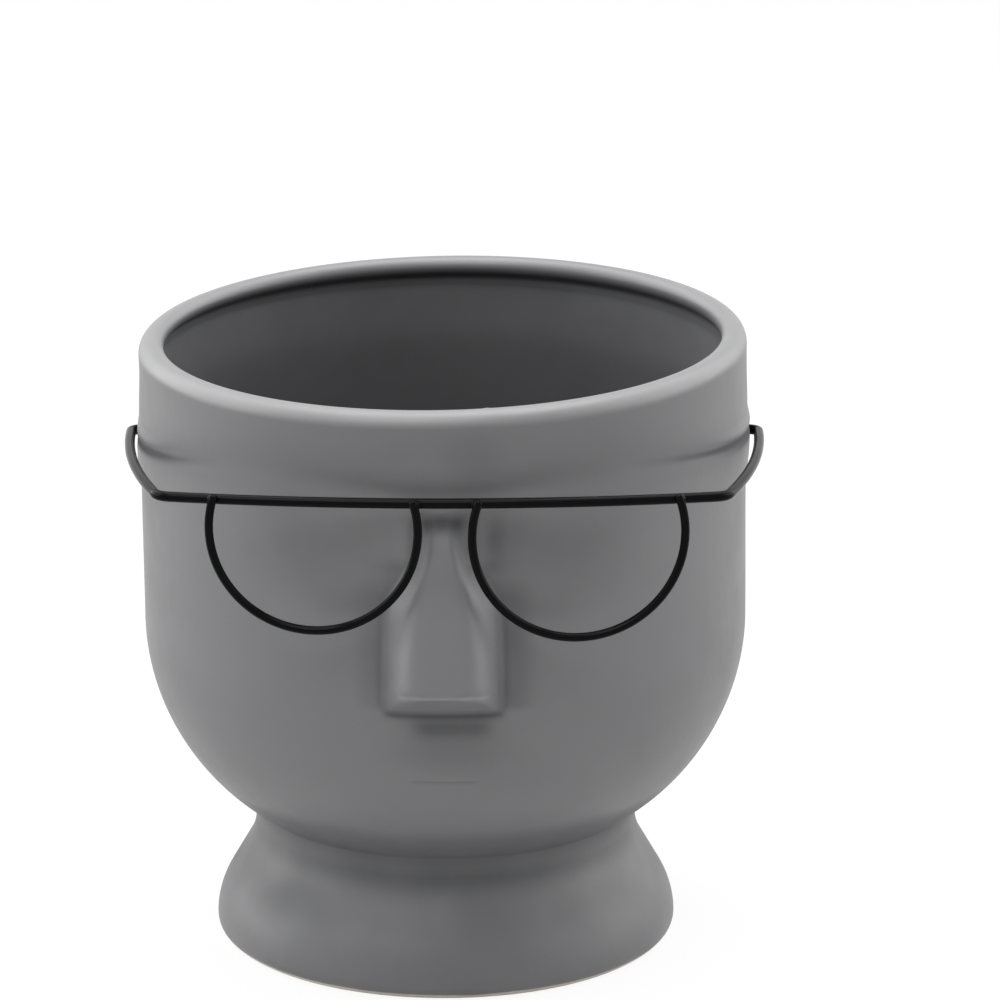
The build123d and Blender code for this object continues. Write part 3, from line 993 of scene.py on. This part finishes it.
@dataclass
class Spectacles:
    """The bar with its temples, the two lens rims and the weld beads. Sizes are in millimetres."""

    finish: WireFinish
    hinge_height: float = 155.5085
    head_radius: float = 90.0
    bar_wire: float = 1.5
    rim_wire: float = 1.25
    bar_clearance: float = 4.5
    bar_rise: float = 3.6
    bar_bow: float = 360.0
    bar_corner: float = 5.0
    temple_gap: float = 1.5
    temple_bow: float = 300.0
    hook_bend: float = 3.0
    hook_length: float = 5.0
    rim_spacing: float = 74.9
    rim_shift: float = 1.05
    rim_end_rise: float = 1.9
    rim_radii: tuple = (29.9, 30.5)
    rim_drops: tuple = (7.8, 9.3)
    bead_radius: float = 1.62
    bead_lumps: float = 0.5
    sides: int = 24
    step: float = 1.2

    def __post_init__(self) -> None:
        """Works out the plan of the bar and temples."""
        self.temple_side = self.head_radius + self.temple_gap + self.bar_wire
        reach = self.head_radius + self.bar_clearance + self.bar_wire
        self.bar_centre = np.array([0.0, reach - self.bar_bow])
        self.temple_centre = np.array([self.temple_side - self.temple_bow, self.hook_bend])

    def half_plan(self) -> Array:
        """The right half of the bar wire from its hook to the middle of the bar.

        Returns:
            Points as X and the distance forward of the hinge line.
        """
        bar_arc = self.bar_bow - self.bar_corner
        temple_arc = self.temple_bow - self.bar_corner
        between = self.temple_centre - self.bar_centre
        apart = float(np.linalg.norm(between))
        unit = between / apart
        along = (apart**2 + bar_arc**2 - temple_arc**2) / (2 * apart)
        out = math.sqrt(bar_arc**2 - along**2)
        square = np.array([-unit[1], unit[0]])
        options = [self.bar_centre + unit * along + square * out * sign for sign in (-1.0, 1.0)]
        corner = max(options, key=lambda point: point[0])

        def angle(centre: Array) -> float:
            """The direction from a centre to the corner, in degrees."""
            return math.degrees(math.atan2(corner[1] - centre[1], corner[0] - centre[0]))

        temple_turn, bar_turn = angle(self.temple_centre), angle(self.bar_centre)
        points = [(self.head_radius - self.hook_length, 0.0)]
        bend = (self.temple_side - self.hook_bend, self.hook_bend)
        points += arc_points(bend, self.hook_bend, -90, 0)
        points += arc_points(self.temple_centre, self.temple_bow, 0, temple_turn)[1:]
        points += arc_points(corner, self.bar_corner, temple_turn, bar_turn)[1:]
        points += arc_points(self.bar_centre, self.bar_bow, bar_turn, 90)[1:]
        return np.array(points)

    def raise_plan(self, plan: Array) -> Array:
        """Lifts plan points onto the tilted plane of the bar and temples, in the part's frame.

        Args:
            plan: Points as X and the distance forward of the hinge line.

        Returns:
            The points in three dimensions.
        """
        rise = math.radians(self.bar_rise)
        across, forward = plan.T
        up = self.hinge_height + forward * math.sin(rise)
        return np.stack([across, -forward * math.cos(rise), up], axis=1)

    def thickness(self, runs: Array, radius: float) -> Array:
        """A share of the radius at each run along a wire, which gives it the round nose of a coated end."""
        within = np.clip(np.minimum(runs, runs[-1] - runs) / (0.55 * radius), 0.0, 1.0)
        return 0.35 + 0.65 * np.sqrt(np.clip(1.0 - (1.0 - within) ** 2, 0.0, 1.0))

    def draw(self, name: str, path: Array, radius: float, node: str) -> Object:
        """Draws one wire along a path and puts it in the place of its solid.

        Args:
            name: The piece's name.
            path: The wire's centre line, in millimetres.
            radius: The wire's radius.
            node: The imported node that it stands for.

        Returns:
            The piece.
        """
        runs = run_lengths(path)
        length = runs[-1]
        nose = radius * np.array([0.0, 0.04, 0.12, 0.25, 0.4, 0.55])
        inner = np.linspace(nose[-1], length - nose[-1], max(8, int(length / self.step)))
        even = at_marks(np.concatenate([nose[:-1], inner, length - nose[:-1][::-1]]), runs, path)
        piece = line_object(name, even * MM, self.thickness(run_lengths(even), radius))
        self.wires.apply(piece, {"Wire Radius": radius * MM, "Sides": self.sides, "Material": self.coat})
        self.place(piece, node)
        return piece

    def place(self, piece: Object, node: str) -> None:
        """Rides a piece on the spectacles in the place of a node.

        Args:
            piece: The piece.
            node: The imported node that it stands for.
        """
        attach(piece, Body.SPECTACLES.value)
        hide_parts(node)
        LOG.info("%s: %d faces", piece.name, len(piece.data.polygons))

    def rim(self, side: Side) -> tuple[Array, Array]:
        """The path of one lens rim and the places of its welds.

        Args:
            side: Which side of the face.

        Returns:
            The rim's centre line and its two weld points, in millimetres.
        """
        radius = self.rim_radii[side is Side.RIGHT]
        drop = self.rim_drops[side is Side.RIGHT]
        middle = side.value * self.rim_spacing / 2 + self.rim_shift
        half = math.sqrt(radius**2 - drop**2)
        sides = np.array([middle - half, middle + half])
        forward = self.bar_centre[1] + np.sqrt(self.bar_bow**2 - sides**2)
        ends = self.raise_plan(np.stack([sides, forward], axis=1))
        across = (ends[1] - ends[0]) * (1.0, 1.0, 0.0)
        across /= np.linalg.norm(across)
        front, up = np.array([across[1], -across[0], 0.0]), np.array([0.0, 0.0, 1.0])
        centre = ends.mean(axis=0) - drop * up + front * (self.bar_wire + self.rim_wire)
        start = math.asin((drop + self.rim_end_rise) / radius)
        angles = np.linspace(start, -math.pi - start, 220)[:, None]
        path = centre + radius * (np.cos(angles) * across + np.sin(angles) * up)
        return path, ends + front * self.bar_wire

    def build(self) -> list[Object]:
        """Makes every piece of the spectacles.

        Returns:
            The pieces.
        """
        self.wires, self.coat = wire_tree(), self.finish.material()
        half = self.half_plan()
        mirrored = half[:-1][::-1] * np.array([-1.0, 1.0])
        bar = self.raise_plan(np.concatenate([half, mirrored]))
        pieces = [self.draw("bar_and_temples", bar, self.bar_wire, "brow_wire")]
        welds = []
        for side, node in ((Side.LEFT, "left_lens_rim"), (Side.RIGHT, "right_lens_rim")):
            path, ends = self.rim(side)
            pieces.append(self.draw(f"{side.name.lower()}_rim", path, self.rim_wire, node))
            welds.extend(ends)
        beads = line_object("rim_welds", np.array(welds) * MM)
        sizes = {"Bead Radius": self.bead_radius * MM, "Lump Height": self.bead_lumps * MM, "Seed": 4.0}
        bead_tree().apply(beads, {**sizes, "Material": self.coat})
        self.place(beads, "weld_beads")
        return pieces + [beads]


# The drain stopper


@dataclass
class DrainStopper:
    """The soft stopper of the drain hole. Sizes are in millimetres."""

    finish: SiliconeFinish
    floor_height: float = 11.0
    stem_radius: float = 7.95
    stem_length: float = 9.0
    stem_taper: float = 0.5
    flange_radius: float = 13.0
    flange_height: float = 2.4
    grip_radius: float = 4.0
    grip_height: float = 6.0
    pole: float = 0.02
    steps: int = 96

    def outline(self) -> Array:
        """The stopper's outline, with the moulded ribs on its stem and grip.

        Returns:
            The rows, as radius and height in millimetres, closed at the pole.
        """
        floor, wide, grip = self.floor_height, self.flange_radius, self.grip_radius
        low, flange = floor - self.stem_length, floor + self.flange_height
        top, tip, foot = flange + self.grip_height, self.stem_radius - self.stem_taper, low + 1.2
        points = [(self.pole, foot), (tip - 2.2, foot), (tip - 2.0, low), (tip - 0.7, low), (tip, low + 0.7)]
        for share in (0.3, 0.55, 0.8):
            height, radius = low + share * self.stem_length, tip + self.stem_taper * share
            ring = ((0.0, -0.7), (0.45, -0.35), (0.45, 0.2), (0.0, 0.5))
            points += [(radius - dent, height + rise) for dent, rise in ring]
        points += [(self.stem_radius, floor), (wide - 0.5, floor), (wide, floor + 0.6), (wide, flange - 0.9)]
        points += [(wide - 0.8, flange), (grip + 4.0, flange), (grip + 3.4, flange - 0.5)]
        points += [(grip + 1.2, flange - 0.5), (grip, flange + 0.4), (grip - 0.7, top - 3.4)]
        points += [(grip, top - 1.8), (grip, top - 0.9), (grip - 0.8, top), (self.pole, top)]
        dense = np.pad(resample(np.array(points), 0.12), ((2, 2), (0, 0)), mode="edge")
        soft = running_mean(dense, hump(np.linspace(-2, 2, 5), 0.0, 1.0))[::2]
        return np.concatenate([soft, soft[:1]])

    def build(self) -> Object:
        """Makes the stopper and puts it in the place of its solid.

        Returns:
            The piece.
        """
        values = {"Steps": self.steps, "Front Density": 0.0, "Material": self.finish.material()}
        piece = turned_piece("silicone_stopper", self.outline(), values)
        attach(piece, Body.STOPPER.value)
        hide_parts("drain_plug")
        LOG.info("silicone_stopper: %d faces", len(piece.data.polygons))
        return piece


# The studio


@dataclass(frozen=True)
class Panel:
    """A soft lamp, by its name, place and size in metres and power in watts."""

    name: str
    place: tuple
    size: tuple
    power: float
    target: tuple = (0.0, 0.0, 0.10)

    def hang(self) -> None:
        """Hangs the lamp so that it faces the object."""
        data = bpy.data.lights.new(self.name, "AREA")
        data.shape = "RECTANGLE"
        data.size, data.size_y = self.size
        data.energy = self.power
        lamp = add_object(self.name, data)
        lamp.location = Vector(self.place)
        aim = Vector(self.target) - lamp.location
        lamp.rotation_euler = aim.to_track_quat("-Z", "Y").to_euler()


@dataclass
class Studio:
    """The floor, the lamps, the world and the camera of a plain light tent."""

    floor_size: float = 8.0
    floor_glow: float = 0.92
    floor_colour: tuple = (0.80, 0.80, 0.80, 1.0)
    floor_roughness: float = 0.9
    world_strength: float = 0.14
    seen_strength: float = 1.0
    panels: tuple = (
        Panel("left_panel", (-1.15, 0.35, 0.75), (1.9, 1.5), 26.0),
        Panel("right_panel", (1.15, 0.35, 0.75), (1.9, 1.5), 21.0),
        Panel("top_panel", (0.0, 0.15, 1.30), (1.2, 1.2), 20.0),
        Panel("front_panel", (-0.28, -0.95, 1.30), (0.9, 0.6), 9.0),
    )
    lens: float = 247.28
    sensor: float = 36.0
    place: tuple = (0.01638, -1.9585, 0.72745)
    pitch: float = 73.13
    clip_end: float = 50.0

    def floor(self) -> None:
        """Lays the pale floor, which the camera sees as white but for the object's shadow."""
        half = self.floor_size / 2
        mesh = bpy.data.meshes.new("floor")
        corners = [(-half, -half, 0), (half, -half, 0), (half, half, 0), (-half, half, 0)]
        mesh.from_pydata(corners, [], [(0, 1, 2, 3)])
        plane = add_object("floor", mesh)
        tree = Surface("pale_floor")
        tree.shader.inputs["Base Color"].default_value = self.floor_colour
        tree.shader.inputs["Roughness"].default_value = self.floor_roughness
        path = tree.add("ShaderNodeLightPath").outputs
        seen = tree.math("MAXIMUM", path["Is Camera Ray"], path["Is Glossy Ray"])
        glow = tree.first("ShaderNodeEmission", {"Color": WHITE, "Strength": 1.0})
        share = tree.math("MULTIPLY", seen, self.floor_glow)
        mixed = tree.first("ShaderNodeMixShader", {0: share, 1: tree.shader.outputs[0], 2: glow})
        tree.tree.links.new(mixed, tree.tree.nodes["Material Output"].inputs["Surface"])
        mesh.materials.append(tree.material)

    def world(self) -> None:
        """Surrounds the object with an even pale light, white to the camera and in reflections."""
        world = bpy.data.worlds.new("tent")
        bpy.context.scene.world = world
        world.use_nodes = True
        tree = Tree(world.node_tree)
        ground = world.node_tree.nodes["Background"]
        ground.inputs["Color"].default_value = WHITE
        ground.inputs["Strength"].default_value = self.world_strength
        path, light = tree.add("ShaderNodeLightPath").outputs, ground.outputs[0]
        bright = tree.first("ShaderNodeBackground", {"Color": WHITE, "Strength": self.seen_strength})
        for ray in ("Is Glossy Ray", "Is Camera Ray"):
            light = tree.first("ShaderNodeMixShader", {0: path[ray], 1: light, 2: bright})
        tree.tree.links.new(light, world.node_tree.nodes["World Output"].inputs["Surface"])

    def camera(self) -> None:
        """Sets the camera where the photograph was taken from."""
        data = bpy.data.cameras.new("camera")
        data.lens = self.lens
        data.sensor_width = self.sensor
        data.sensor_fit = "HORIZONTAL"
        data.clip_end = self.clip_end
        camera = add_object("camera", data)
        camera.location = self.place
        camera.rotation_euler = (math.radians(self.pitch), 0.0, 0.0)
        bpy.context.scene.camera = camera

    def build(self) -> None:
        """Makes the whole studio."""
        bpy.context.scene.view_settings.view_transform = "Standard"
        self.floor()
        self.world()
        for panel in self.panels:
            panel.hang()
        self.camera()


def main() -> None:
    """Builds every piece in order."""
    logging.basicConfig(level=logging.INFO, format="%(name)s %(message)s")
    Studio().build()
    HeadPot(GlazeFinish()).build()
    Spectacles(WireFinish()).build()
    DrainStopper(SiliconeFinish()).build()
    LOG.info("size written")


if __name__ == "__main__":
    main()
